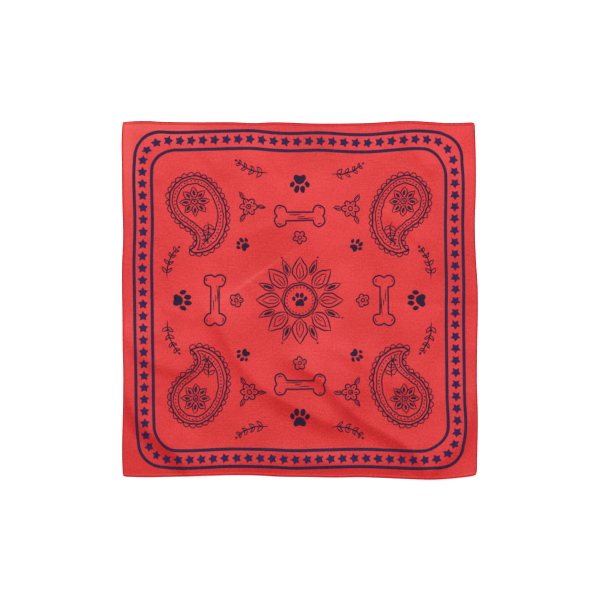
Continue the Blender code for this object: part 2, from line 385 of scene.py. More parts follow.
@dataclass(frozen=True)
class ClothForm:
    """How the scarf lies: its outline in plan and the height of its underside."""

    outline: SquareMap = SquareMap(CLOTH_EDGES)
    corners: tuple[Corner, ...] = CORNERS
    folds: tuple[Fold, ...] = FOLDS + CREASES
    fold_taper: float = 0.2
    crest_round: float = 4.0 * MM
    route_steps: int = 8
    bed: float = 0.35 * MM
    rumple_cells: tuple[float, ...] = (46 * MM, 21 * MM)
    rumple_heights: tuple[float, ...] = (0.34 * MM, 0.12 * MM)
    rumple_seed: int = 11
    lowest: float = 0.04 * MM

    def fold_height(self, fold: Fold, x: Array, y: Array) -> Array:
        """How far one fold lifts the cloth at plan points x, y, in metres.

        Args:
            fold: the fold.
            x: plan x of the points.
            y: plan y of the points.

        Returns:
            The rise at each point, negative for a trough.
        """
        route = smooth_curve(fold.route, self.route_steps) * MM
        reach = max(fold.left, fold.right) * MM
        low, high = route.min(axis=0) - reach, route.max(axis=0) + reach
        height = np.zeros(x.shape)
        near = (x > low[0]) & (x < high[0]) & (y > low[1]) & (y < high[1])
        if not near.any():
            return height
        signed, share = self.distance_from(route, x[near], y[near])
        width = np.where(signed > 0, fold.left, fold.right) * MM
        off_crest = np.hypot(signed, self.crest_round) - self.crest_round
        crest = (1 - np.clip(off_crest / width, 0, 1)) ** 2
        taper = smooth_step(np.minimum(share, 1 - share) / self.fold_taper)
        height[near] = fold.rise * MM * crest * taper
        return height

    @staticmethod
    def distance_from(route: Array, x: Array, y: Array) -> tuple[Array, Array]:
        """Distance of plan points from a route.

        Args:
            route: the route's points, in metres.
            x: plan x of the points.
            y: plan y of the points.

        Returns:
            The distance, positive on the left hand of the route, and the share of its length.
        """
        lengths = np.linalg.norm(np.diff(route, axis=0), axis=1)
        starts = np.concatenate([[0.0], np.cumsum(lengths)])
        nearest = np.full(x.shape, np.inf)
        signed = np.zeros(x.shape)
        share = np.zeros(x.shape)
        for (ax, ay), (bx, by), length, start in zip(route, route[1:], lengths, starts):
            step_x, step_y = (bx - ax) / length, (by - ay) / length
            walked = np.clip((x - ax) * step_x + (y - ay) * step_y, 0, length)
            off_x, off_y = x - ax - step_x * walked, y - ay - step_y * walked
            distance = np.hypot(off_x, off_y)
            closer = distance < nearest
            nearest = np.where(closer, distance, nearest)
            hand = np.where(step_x * off_y - step_y * off_x < 0, -1.0, 1.0)
            signed = np.where(closer, hand * distance, signed)
            share = np.where(closer, (start + walked) / starts[-1], share)
        return signed, share

    def height(self, x: Array, y: Array) -> Array:
        """Height of the cloth's underside at plan points x, y, in metres.

        Args:
            x: plan x of the points.
            y: plan y of the points.

        Returns:
            The height at each point.
        """
        height = np.full(np.shape(x), self.bed)
        for fold in self.folds:
            height += self.fold_height(fold, x, y)
        for number, (cell, rise) in enumerate(zip(self.rumple_cells, self.rumple_heights)):
            height += rise * value_noise(x, y, cell, self.rumple_seed + number)
        return np.maximum(height, self.lowest)

    def plan(self, u: Array, v: Array) -> tuple[Array, Array]:
        """Plan x and y of the places u, v, with the corners drawn in.

        Args:
            u: places from left to right.
            v: places from bottom to top.

        Returns:
            Plan x and y, in metres.
        """
        x, y = self.outline.plan(u, v)
        for corner in self.corners:
            tip_x, tip_y = self.outline.plan(np.float64(corner.right), np.float64(corner.up))
            near = 1 - np.hypot(x - tip_x, y - tip_y) / (corner.reach * MM)
            drawn_in = corner.pull * MM * np.clip(near, 0, 1) ** 2 / math.sqrt(2)
            x, y = x - corner.right * drawn_in, y - corner.up * drawn_in
        return x, y

    def point(self, u: Array, v: Array) -> Array:
        """Points of the cloth's underside at u, v."""
        x, y = self.plan(u, v)
        return np.stack([x, y, self.height(x, y)], axis=-1)


# ---------------------------------------------------------------------------------------------
# Finishes
# ---------------------------------------------------------------------------------------------


class Socket(Enum):
    """The kinds of input that the geometry trees take."""

    LENGTH = "NodeSocketFloat"
    COUNT = "NodeSocketInt"
    MATERIAL = "NodeSocketMaterial"


class NodeBench:
    """Adds and links the nodes of one tree."""

    def __init__(self, tree: bpy.types.NodeTree) -> None:
        """Takes the tree that the nodes go in."""
        self.tree = tree

    def add(self, kind: str, values: dict[str | int, object] | None = None,
            **settings: object) -> bpy.types.Node:
        """Adds a node.

        Args:
            kind: the node's type name.
            values: inputs by name or number, each a value or the output socket that feeds it.
            settings: the node's own properties.

        Returns:
            The new node.
        """
        node = self.tree.nodes.new(kind)
        for name, value in settings.items():
            setattr(node, name, value)
        for name, value in (values or {}).items():
            if isinstance(value, bpy.types.NodeSocket):
                self.tree.links.new(value, node.inputs[name])
            else:
                node.inputs[name].default_value = value
        return node

    def math(self, operation: str, a: object, b: object = 0.0) -> bpy.types.NodeSocket:
        """The output of a Math node with those two inputs."""
        return self.add("ShaderNodeMath", {0: a, 1: b}, operation=operation).outputs[0]

    def ramp(self, value: bpy.types.NodeSocket, low: float, high: float, start: float = 0.0,
             end: float = 1.0, smooth: bool = False) -> bpy.types.NodeSocket:
        """A value that goes from `start` to `end` as another goes from `low` to `high`."""
        kind = "SMOOTHSTEP" if smooth else "LINEAR"
        return self.add("ShaderNodeMapRange", {"Value": value, "From Min": low, "From Max": high,
                                               "To Min": start, "To Max": end},
                        interpolation_type=kind).outputs[0]

    def mix(self, factor: bpy.types.NodeSocket, first: Colour | bpy.types.NodeSocket,
            second: Colour) -> bpy.types.NodeSocket:
        """A colour between two.

        Args:
            factor: how far it is from the first to the second, from 0 to 1.
            first: the first colour, or the output that gives it.
            second: the second colour.

        Returns:
            The output with the mixed colour.
        """
        node = self.add("ShaderNodeMix", {"Factor": factor}, data_type="RGBA")
        if isinstance(first, bpy.types.NodeSocket):
            self.tree.links.new(first, node.inputs["A"])
        else:
            node.inputs["A"].default_value = (*first, 1.0)
        node.inputs["B"].default_value = (*second, 1.0)
        return node.outputs["Result"]

    def feed(self, shader: bpy.types.Node, colour: bpy.types.NodeSocket, roughness: float) -> None:
        """Gives a shader its colour and its roughness."""
        self.tree.links.new(colour, shader.inputs["Base Color"])
        shader.inputs["Roughness"].default_value = roughness

    def noise(self, place: bpy.types.NodeSocket, stretch: tuple[float, float, float],
              detail: float = 2.0, roughness: float = 0.5) -> bpy.types.NodeSocket:
        """A noise between 0 and 1 at `stretch` cells to the metre along each axis."""
        spread = self.add("ShaderNodeVectorMath", {0: place, 1: stretch}, operation="MULTIPLY")
        return self.add("ShaderNodeTexNoise", {"Vector": spread.outputs[0], "Scale": 1.0,
                                               "Detail": detail, "Roughness": roughness}
                        ).outputs["Fac"]


def new_material(name: str) -> tuple[bpy.types.Material, NodeBench, bpy.types.Node]:
    """An empty node material, the bench for its nodes and its Principled shader.

    Args:
        name: the material's name.

    Returns:
        The material, its bench and its shader.
    """
    material = bpy.data.materials.new(name)
    material.use_nodes = True
    shader = material.node_tree.nodes["Principled BSDF"]
    return material, NodeBench(material.node_tree), shader


FLAT_MAP = "flat_cloth"
# The share of painted shade on each hem's rolled outer edge, one value per point
ROLL_SHADE = "hem_roll_shade"
CORNER_ANGLE = math.radians(50)


@dataclass(frozen=True)
class Weave:
    """The plain weave that shows in every cotton piece and through the ink."""

    threads_per_metre: float = 2200.0
    slub_across: float = 620.0
    slub_along: float = 34.0
    fine_across: float = 1500.0
    fine_along: float = 260.0
    warp_share: float = 0.6
    thread_depth: float = 0.06 * MM
    slub_depth: float = 0.8 * MM

    def place(self, bench: NodeBench) -> bpy.types.NodeSocket:
        """The place on the flat cloth, in metres.

        Args:
            bench: the bench for the material's nodes.

        Returns:
            The output that gives the place.
        """
        flat = bench.add("ShaderNodeUVMap", uv_map=FLAT_MAP)
        scaled = bench.add("ShaderNodeVectorMath", {0: flat.outputs[0], "Scale": SCARF_SIDE},
                           operation="SCALE")
        return scaled.outputs[0]

    def slubs(self, bench: NodeBench, place: bpy.types.NodeSocket) -> bpy.types.NodeSocket:
        """Uneven threads both ways, about 0.5 on average.

        Args:
            bench: the bench for the material's nodes.
            place: the place on the flat cloth, in metres.

        Returns:
            The output that gives them.
        """
        sums = []
        for share, turn in ((self.warp_share, 1), (1 - self.warp_share, -1)):
            slub = (self.slub_across, self.slub_along)[::turn]
            fine = (self.fine_across, self.fine_along)[::turn]
            both = bench.math("ADD", bench.noise(place, (*slub, 1.0)),
                              bench.noise(place, (*fine, 1.0), detail=1.0))
            sums.append(bench.math("MULTIPLY", both, share / 2))
        return bench.math("ADD", *sums)

    def threads(self, bench: NodeBench, place: bpy.types.NodeSocket) -> bpy.types.NodeSocket:
        """The height of the crossing threads, between 0 and 1.

        Args:
            bench: the bench for the material's nodes.
            place: the place on the flat cloth, in metres.

        Returns:
            The output that gives the height.
        """
        turns = math.tau * self.threads_per_metre / 2
        parts = bench.add("ShaderNodeSeparateXYZ", {0: place})
        warp = bench.math("SINE", bench.math("MULTIPLY", parts.outputs["X"], turns))
        weft = bench.math("SINE", bench.math("MULTIPLY", parts.outputs["Y"], turns))
        crossing = bench.math("MULTIPLY", warp, weft)
        return bench.math("MULTIPLY_ADD", crossing, 0.5)

    def raise_threads(self, bench: NodeBench, shader: bpy.types.Node,
                      place: bpy.types.NodeSocket, slubs: bpy.types.NodeSocket) -> None:
        """Gives a shader the relief of the woven surface.

        Args:
            bench: the bench for the material's nodes.
            shader: the material's shader.
            place: the place on the flat cloth, in metres.
            slubs: the uneven threads, as `slubs` gives them.
        """
        coarse = bench.add("ShaderNodeBump", {"Height": slubs, "Distance": self.slub_depth,
                                              "Strength": 1.0})
        fine = bench.add("ShaderNodeBump", {"Height": self.threads(bench, place),
                                            "Distance": self.thread_depth, "Strength": 0.5,
                                            "Normal": coarse.outputs[0]})
        bench.tree.links.new(fine.outputs[0], shader.inputs["Normal"])


@dataclass(frozen=True)
class Cotton:
    """Printed red cotton: soft, matt and slightly slubby."""

    name: str = "red_cotton"
    deep: Colour = (0.553, 0.0002, 0.0015)
    bright: Colour = (0.667, 0.0200, 0.0235)
    roughness: float = 0.52
    # Painted shade: the hems' rolled outer edge is a darker red, as if turned away from the light
    roll_shade: Colour = (0.440, 0.001, 0.014)
    specular: float = 0.56
    fade_cells: float = 11.0
    speckle_cells: tuple[float, float, float] = (560.0, 320.0, 1.0)
    # Painted highlight: the upper left margin is paler, where the lifted cloth catches the light
    faded: Colour = (0.760, 0.085, 0.070)
    highlight_reach: float = 0.37 * SCARF_SIDE
    highlight_margin: float = 0.085 * SCARF_SIDE
    highlight_share: float = 0.70
    # Painted shade: the red is darker towards the lower edge, where less light falls
    lower_shade: float = 0.10
    level_range: tuple[float, float] = (1.26, 1.74)
    weave: Weave = Weave()

    def material(self) -> bpy.types.Material:
        """Builds the material.

        Returns:
            The finished material.
        """
        material, bench, shader = new_material(self.name)
        place = self.weave.place(bench)
        slubs = self.weave.slubs(bench, place)
        fade = bench.noise(place, (self.fade_cells,) * 3, detail=3.0)
        speckle = bench.noise(place, self.speckle_cells, detail=1.0)
        mixed = bench.math("ADD", bench.math("ADD", slubs, fade), speckle)
        # Painted shade deepens the red towards the lower edge
        mixed = bench.math("SUBTRACT", mixed, self.painted_lower_shade(bench, place))
        colour = bench.mix(bench.ramp(mixed, *self.level_range), self.deep, self.bright)
        # Painted highlight on the upper left margin
        colour = bench.mix(self.painted_highlight(bench, place), colour, self.faded)
        # Painted shade darkens the hems' rolled outer edge
        roll = bench.add("ShaderNodeAttribute", attribute_name=ROLL_SHADE).outputs["Fac"]
        bench.feed(shader, bench.mix(roll, colour, self.roll_shade), self.roughness)
        self.weave.raise_threads(bench, shader, place, slubs)
        shader.inputs["Specular IOR Level"].default_value = self.specular
        return material

    def painted_lower_shade(self, bench: NodeBench, place: bpy.types.NodeSocket) -> bpy.types.NodeSocket:
        """How much painted shade deepens the red at a place: most at the lower edge, none above the
        middle.
        """
        up = bench.add("ShaderNodeSeparateXYZ", {0: place}).outputs["Y"]
        return bench.ramp(up, 0.0, HALF_SIDE, self.lower_shade, 0.0, smooth=True)

    def painted_highlight(self, bench: NodeBench, place: bpy.types.NodeSocket) -> bpy.types.NodeSocket:
        """How much painted highlight lightens the margin at a place: most at the upper left corner,
        less away from it.

        Args:
            bench: the bench for the material's nodes.
            place: the place on the flat cloth, in metres.

        Returns:
            The output that gives the share of the painted highlight's paler red.
        """
        corner = bench.add("ShaderNodeVectorMath", {0: place, 1: (0.0, SCARF_SIDE, 0.0)},
                           operation="SUBTRACT").outputs[0]
        parts = bench.add("ShaderNodeSeparateXYZ", {0: corner}).outputs
        inward = bench.math("MINIMUM", parts["X"], bench.math("MULTIPLY", parts["Y"], -1.0))
        away = bench.add("ShaderNodeVectorMath", {0: corner}, operation="LENGTH").outputs["Value"]
        shares = [bench.ramp(value, 0.0, reach, 1.0, 0.0, smooth=True)
                  for value, reach in ((inward, self.highlight_margin), (away, self.highlight_reach))]
        return bench.math("MULTIPLY", bench.math("MULTIPLY", *shares), self.highlight_share)


# The hems' paler colours carry a painted sheen in place of a specular veil, since their specular
# level is low
HEM_COTTON = Cotton(name="hem_cotton", deep=(0.560, 0.030, 0.034), bright=(0.690, 0.046, 0.050),
                    specular=0.12)


@dataclass(frozen=True)
class Ink:
    """Navy textile ink: it soaks in, so the weave shows through, and it is thin in places."""

    name: str = "navy_ink"
    thick: Colour = (0.013, 0.010, 0.056)
    thin: Colour = (0.040, 0.016, 0.072)
    roughness: float = 0.70
    specular: float = 0.14
    level_range: tuple[float, float] = (0.42, 0.62)
    weave: Weave = Weave()

    def material(self) -> bpy.types.Material:
        """Builds the material.

        Returns:
            The finished material.
        """
        material, bench, shader = new_material(self.name)
        place = self.weave.place(bench)
        slubs = self.weave.slubs(bench, place)
        colour = bench.mix(bench.ramp(slubs, *self.level_range), self.thick, self.thin)
        bench.feed(shader, colour, self.roughness)
        self.weave.raise_threads(bench, shader, place, slubs)
        shader.inputs["Specular IOR Level"].default_value = self.specular
        return material


@dataclass(frozen=True)
class Thread:
    """Spun sewing thread in the cloth's red."""

    name: str = "red_thread"
    colour: Colour = (0.66, 0.030, 0.036)
    dark: Colour = (0.46, 0.014, 0.022)
    strands_per_metre: float = 2600.0
    roughness: float = 0.6

    def material(self) -> bpy.types.Material:
        """Builds the material.

        Returns:
            The finished material.
        """
        material, bench, shader = new_material(self.name)
        place = bench.add("ShaderNodeTexCoord").outputs["Object"]
        twist = bench.noise(place, (self.strands_per_metre,) * 3)
        bench.feed(shader, bench.mix(twist, self.dark, self.colour), self.roughness)
        return material


@dataclass(frozen=True)
class PaleFloor:
    """The plain white surface that the scarf lies on, which glows a little."""

    name: str = "pale_floor"
    colour: Colour = (0.95, 0.95, 0.95)
    grain_colour: Colour = (0.9, 0.9, 0.9)
    grain_cells: float = 90.0
    grain_strength: float = 0.02
    roughness: float = 0.9
    glow: float = 0.75

    def material(self) -> bpy.types.Material:
        """Builds the material.

        Returns:
            The finished material.
        """
        material, bench, shader = new_material(self.name)
        place = bench.add("ShaderNodeTexCoord").outputs["Object"]
        grain = bench.noise(place, (self.grain_cells,) * 3)
        level = bench.math("MULTIPLY_ADD", grain, self.grain_strength)
        bench.feed(shader, bench.mix(level, self.colour, self.grain_colour), self.roughness)
        shader.inputs["Emission Color"].default_value = (1.0, 1.0, 1.0, 1.0)
        shader.inputs["Emission Strength"].default_value = self.glow
        return material


# ---------------------------------------------------------------------------------------------
# Meshes
# ---------------------------------------------------------------------------------------------


def points_of(mesh: bpy.types.Mesh) -> Array:
    """The mesh's points, one row each.

    Args:
        mesh: the mesh.

    Returns:
        The places of its points.
    """
    found = np.empty(len(mesh.vertices) * 3, np.float32)
    mesh.vertices.foreach_get("co", found)
    return found.reshape(-1, 3).astype(float)


def move_points(mesh: bpy.types.Mesh, places: Array) -> None:
    """Moves the mesh's points to those places."""
    mesh.vertices.foreach_set("co", places.astype(np.float32).ravel())
    mesh.update()


def write_flat_map(mesh: bpy.types.Mesh, form: ClothForm) -> None:
    """Gives the mesh a UV map of its place on the flat cloth, from 0 to 1 each way.

    Args:
        mesh: the mesh, already in its place.
        form: the cloth's form.
    """
    places = points_of(mesh)
    u, v = form.outline.flat(places[:, 0], places[:, 1])
    flat = np.stack([u, v], axis=-1) / 2 + 0.5
    corners = np.empty(len(mesh.loops), np.int32)
    mesh.loops.foreach_get("vertex_index", corners)
    layer = mesh.uv_layers.new(name=FLAT_MAP)
    layer.uv.foreach_set("vector", flat[corners].astype(np.float32).ravel())


def write_attribute(mesh: bpy.types.Mesh, name: str, values: Array) -> None:
    """Gives the mesh's points one number each, which materials read by that name."""
    layer = mesh.attributes.new(name, "FLOAT", "POINT")
    layer.data.foreach_set("value", values.astype(np.float32).ravel())


def shade(mesh: bpy.types.Mesh) -> None:
    """Shades the mesh smooth, except where it turns a corner."""
    mesh.shade_smooth()
    mesh.set_sharp_from_angle(angle=CORNER_ANGLE)


def link(name: str, mesh: bpy.types.Mesh) -> bpy.types.Object:
    """Puts a mesh in the scene as an object of that name.

    Args:
        name: the name of both.
        mesh: the mesh.

    Returns:
        The new object.
    """
    mesh.name = name
    thing = bpy.data.objects.new(name, mesh)
    bpy.context.scene.collection.objects.link(thing)
    return thing


def evaluated_mesh(thing: bpy.types.Object) -> bpy.types.Mesh:
    """A plain mesh of what the object's modifiers make. The object is removed.

    Args:
        thing: the object.

    Returns:
        The new mesh.
    """
    bpy.context.view_layer.update()
    graph = bpy.context.evaluated_depsgraph_get()
    mesh = bpy.data.meshes.new_from_object(thing.evaluated_get(graph))
    bpy.data.objects.remove(thing)
    return mesh


def grid_mesh(name: str, points: Array) -> bpy.types.Mesh:
    """A sheet of quads through a grid of points, facing the left hand of rows and columns.

    Args:
        name: the mesh's name.
        points: rows and columns of points.

    Returns:
        The new mesh.
    """
    rows, columns = points.shape[:2]
    corner = np.arange(rows * columns).reshape(rows, columns)
    quads = np.stack([corner[:-1, :-1], corner[:-1, 1:], corner[1:, 1:], corner[1:, :-1]], axis=-1)
    mesh = bpy.data.meshes.new(name)
    mesh.from_pydata(points.reshape(-1, 3).tolist(), [], quads.reshape(-1, 4).tolist())
    return mesh


def loft_mesh(name: str, rings: Array) -> bpy.types.Mesh:
    """A closed body through equal rings of points, capped at both ends.

    Args:
        name: the mesh's name.
        rings: the rings in order, each a row of points.

    Returns:
        The new mesh.
    """
    count, size = rings.shape[:2]
    corner = np.arange(count * size).reshape(count, size)
    after = np.roll(corner, -1, axis=1)
    quads = np.stack([corner[:-1], after[:-1], after[1:], corner[1:]], axis=-1).reshape(-1, 4)
    faces = quads.tolist() + [corner[0][::-1].tolist(), corner[-1].tolist()]
    mesh = bpy.data.meshes.new(name)
    mesh.from_pydata(rings.reshape(-1, 3).tolist(), [], faces)
    return mesh


class GeometryTree:
    """A Geometry Nodes tree with named inputs, used on one object at a time."""

    def __init__(self, name: str, inputs: dict[str, Socket]) -> None:
        """Makes the tree with a geometry input and output and the named inputs.

        Args:
            name: the tree's name.
            inputs: the kind of each input, by its name.
        """
        self.tree = bpy.data.node_groups.new(name, "GeometryNodeTree")
        sockets = self.tree.interface
        sockets.new_socket("Geometry", in_out="INPUT", socket_type="NodeSocketGeometry")
        sockets.new_socket("Geometry", in_out="OUTPUT", socket_type="NodeSocketGeometry")
        for label, kind in inputs.items():
            sockets.new_socket(label, in_out="INPUT", socket_type=kind.value)
        self.bench = NodeBench(self.tree)
        self.start = self.bench.add("NodeGroupInput")

    def finish(self, geometry: bpy.types.NodeSocket) -> None:
        """Ends the tree: instances become real and wear the material that is its input.

        Args:
            geometry: the output with everything that the tree makes.
        """
        real = self.bench.add("GeometryNodeRealizeInstances", {0: geometry})
        dressed = self.bench.add("GeometryNodeSetMaterial",
                                 {0: real.outputs[0], "Material": self.start.outputs["Material"]})
        self.bench.add("NodeGroupOutput", {0: dressed.outputs[0]})

    def run(self, host: bpy.types.Object, values: dict[str, object]) -> bpy.types.Mesh:
        """Runs the tree on an object.

        Args:
            host: the object whose geometry goes in. It is removed.
            values: the tree's inputs by name.

        Returns:
            The mesh that comes out.
        """
        modifier = host.modifiers.new(self.tree.name, "NODES")
        modifier.node_group = self.tree
        for item in self.tree.interface.items_tree:
            if item.in_out == "INPUT" and item.name in values:
                modifier[item.identifier] = values[item.name]
        return evaluated_mesh(host)


def curve_object(name: str, lines: Iterable["PenLine"]) -> bpy.types.Object:
    """A curve object with one straight-sided spline for each pen line, its width as its radius.

    Args:
        name: the name of the curve.
        lines: the pen lines.

    Returns:
        The curve object, in the scene.
    """
    curve = bpy.data.curves.new(name, "CURVE")
    curve.dimensions = "3D"
    for line in lines:
        spline = curve.splines.new("POLY")
        spline.points.add(len(line.points) - 1)
        places = np.zeros((len(line.points), 4))
        places[:, :line.points.shape[1]] = line.points
        spline.points.foreach_set("co", places.ravel())
        spline.points.foreach_set("radius", line.widths)
        spline.use_cyclic_u = line.closed
    thing = bpy.data.objects.new(name, curve)
    bpy.context.scene.collection.objects.link(thing)
    return thing


@dataclass(frozen=True)
class PenLine:
    """A line of ink: its points, the width at each point, and whether it closes on itself."""

    points: Array
    widths: Array
    closed: bool = False


def even_line(points: Array, width: float, closed: bool = False) -> PenLine:
    """A line of the same width all along."""
    return PenLine(points, np.full(len(points), width), closed)


# ---------------------------------------------------------------------------------------------
# The cloth and its hems
# ---------------------------------------------------------------------------------------------


@dataclass
class Panel:
    """The square of cloth inside the hems."""

    form: ClothForm
    finish: Cotton
    cells: int = 210
    wall: float = 0.45 * MM
    hem_inset: float = 3.7 * MM
    thing: bpy.types.Object | None = None

    def build(self) -> bpy.types.Object:
        """Builds the thin shell and dresses it.

        Returns:
            The finished piece.
        """
        inner = 1 - self.hem_inset / HALF_SIDE
        u, v = np.meshgrid(np.linspace(-inner, inner, self.cells + 1),
                           np.linspace(-inner, inner, self.cells + 1))
        mesh = grid_mesh("scarf_cloth", self.form.point(u, v))
        self.thing = link("scarf_cloth", mesh)
        wall = self.thing.modifiers.new("wall", "SOLIDIFY")
        wall.thickness = self.wall
        wall.offset = 1.0
        mesh = evaluated_mesh(self.thing)
        write_flat_map(mesh, self.form)
        mesh.materials.append(self.finish.material())
        shade(mesh)
        self.thing = link("scarf_cloth", mesh)
        return self.thing

    def surface(self) -> BVHTree:
        """The cloth's faces, for laying the print on them.

        Returns:
            The faces, ready to be met by rays.
        """
        mesh = self.thing.data
        corners = [tuple(face.vertices) for face in mesh.polygons]
        return BVHTree.FromPolygons([vertex.co for vertex in mesh.vertices], corners)

    def declare(self, goes_with: Sequence[bpy.types.Object]) -> None:
        """Tells the frame what the cloth is.

        Args:
            goes_with: the hems, the stitches and the print; not used.
        """
        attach(self.thing, BODY)
        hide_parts("panel")


@dataclass
class TurnedHem:
    """One narrow hem, turned twice, on one side of the cloth."""

    side: Side
    form: ClothForm
    finish: Cotton
    width: float = 4.2 * MM
    wall: float = 1.05 * MM
    stitch_inset: float = 3.1 * MM
    stitch_dip: float = 0.08 * MM
    # How far in from the outer edge the painted shade reaches
    roll: float = 1.3 * MM
    stations: int = 240
    round_points: int = 6
    wobble: float = 0.22 * MM
    wobble_cell: float = 24 * MM
    first_seed: int = 40
    top_places: tuple[float, ...] = (1.4 * MM, 2.3 * MM)
    shoulder: float = 3.8 * MM
    inner_steps: tuple[float, ...] = (0.78, 0.4, 0.0)
    thing: bpy.types.Object | None = None

    def section(self) -> tuple[Array, Array]:
        """The cross-section: distances inward from the outer edge, and up from its underside.

        Returns:
            The two rows of distances, in metres.
        """
        radius = self.wall / 2
        turn = np.linspace(-math.pi / 2, -3 * math.pi / 2, self.round_points)
        inward = list(radius + radius * np.cos(turn))
        up = list(radius + radius * np.sin(turn))
        for place in (*self.top_places, self.stitch_inset, self.shoulder):
            dip = self.stitch_dip if place == self.stitch_inset else 0.0
            inward.append(place)
            up.append(self.wall - dip)
        inward += [self.width, self.width, self.width]
        up += [self.wall * share for share in self.inner_steps]
        return np.array(inward), np.array(up)

    def place(self, along: Array, inward: Array) -> tuple[Array, Array]:
        """The u, v of places along the hem and inward from the scarf's edge."""
        across = self.side.sign * (1 - inward / HALF_SIDE)
        return (along, across) if self.side.runs_across else (across, along)

    def build(self) -> bpy.types.Object:
        """Builds the strip, round at its outer edge, and dresses it.

        Returns:
            The finished piece.
        """
        end = 1.0 if self.side.runs_across else 1 - self.width / HALF_SIDE
        inward, up = self.section()
        along, inward = np.meshgrid(np.linspace(-end, end, self.stations + 1), inward,
                                    indexing="ij")
        seed = self.first_seed + list(Side).index(self.side)
        wander = self.wobble * value_noise(along * HALF_SIDE, 0 * along, self.wobble_cell, seed)
        inward = inward + wander * (inward > self.wall)
        rings = self.form.point(*self.place(along, inward))
        rings[..., 2] += up
        mesh = loft_mesh("hem", rings)
        # Painted shade on the rolled outer edge, fading out inward
        write_attribute(mesh, ROLL_SHADE, 1 - smooth_step((inward - self.roll) / self.roll))
        self.thing = link(f"scarf_hem_{self.side.value}", mesh)
        self.face_outward(mesh)
        write_flat_map(mesh, self.form)
        mesh.materials.append(self.finish.material())
        shade(mesh)
        return self.thing

    @staticmethod
    def face_outward(mesh: bpy.types.Mesh) -> None:
        """Turns the faces of a closed mesh outward, by the sign of its volume.

        Args:
            mesh: the mesh.
        """
        mesh.calc_loop_triangles()
        places = points_of(mesh)
        corners = np.empty(len(mesh.loop_triangles) * 3, np.int32)
        mesh.loop_triangles.foreach_get("vertices", corners)
        a, b, c = places[corners.reshape(-1, 3).T]
        if np.einsum("ij,ij->i", a, np.cross(b, c)).sum() < 0:
            mesh.flip_normals()

    def declare(self) -> None:
        """Tells the frame what the hem is."""
        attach(self.thing, BODY)
        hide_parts(f"hem_{self.side.value}")


UNIT_RADIUS = 0.5
STITCH_SEGMENTS = 8
STITCH_RINGS = 6
STITCH_LEAN = (0.05, 0.05, 0.09)
STITCH_SEED = 5


@dataclass
class StitchRow:
    """The row of lockstitch that holds one hem down."""

    hem: TurnedHem
    finish: Thread
    pitch: float = 3.2 * MM
    length: float = 2.5 * MM
    thickness: float = 0.42 * MM
    path_step: float = 5 * MM
    sink: float = 0.10 * MM
    thing: bpy.types.Object | None = None

    @staticmethod
    def tree() -> GeometryTree:
        """The tree that sets one stitch after another along a path.

        Returns:
            The tree.
        """
        tree = GeometryTree("stitches_along_path", {
            "Pitch": Socket.LENGTH, "Length": Socket.LENGTH, "Thickness": Socket.LENGTH,
            "Material": Socket.MATERIAL})
        bench, inputs = tree.bench, tree.start.outputs
        spots = bench.add("GeometryNodeCurveToPoints", {"Curve": inputs["Geometry"],
                                                        "Length": inputs["Pitch"]}, mode="LENGTH")
        stitch = bench.add("GeometryNodeMeshUVSphere", {
            "Segments": STITCH_SEGMENTS, "Rings": STITCH_RINGS, "Radius": UNIT_RADIUS})
        lean = bench.add("FunctionNodeRandomValue", {
            0: tuple(-turn for turn in STITCH_LEAN), 1: STITCH_LEAN, "Seed": STITCH_SEED},
            data_type="FLOAT_VECTOR")
        size = bench.add("ShaderNodeCombineXYZ", {"X": inputs["Length"], "Y": inputs["Thickness"],
                                                  "Z": inputs["Thickness"]})
        along = bench.add("FunctionNodeAlignRotationToVector",
                          {"Vector": spots.outputs["Tangent"]}, axis="X")
        turned = bench.add("FunctionNodeRotateRotation", {0: along.outputs[0], 1: lean.outputs[0]},
                           rotation_space="LOCAL")
        placed = bench.add("GeometryNodeInstanceOnPoints", {
            "Points": spots.outputs["Points"], "Instance": stitch.outputs["Mesh"],
            "Rotation": turned.outputs[0], "Scale": size.outputs[0]})
        tree.finish(placed.outputs[0])
        return tree

    def build(self, tree: GeometryTree) -> bpy.types.Object:
        """Sews the row with that tree.

        Args:
            tree: the tree that `StitchRow.tree` makes.

        Returns:
            The finished piece.
        """
        end = 1 - self.hem.stitch_inset / HALF_SIDE
        steps = int(SCARF_SIDE / self.path_step)
        along = np.linspace(-end, end, steps)
        inset = np.full(steps, self.hem.stitch_inset)
        form = self.hem.form
        x, y = form.plan(*self.hem.place(along, inset))
        line = even_line(np.stack([x, y], axis=-1), self.thickness)
        host = curve_object("stitch_path", [line])
        material = self.finish.material()
        mesh = tree.run(host, {"Pitch": self.pitch, "Length": self.length,
                               "Thickness": self.thickness, "Material": material})
        places = points_of(mesh)
        seat = form.height(places[:, 0], places[:, 1]) + self.hem.wall - self.sink
        places[:, 2] += seat
        move_points(mesh, places)
        shade(mesh)
        self.thing = link(f"stitches_{self.hem.side.value}", mesh)
        return self.thing

    def declare(self) -> None:
        """Tells the frame what the stitches are."""
        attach(self.thing, BODY)


# ---------------------------------------------------------------------------------------------
# The print
# ---------------------------------------------------------------------------------------------


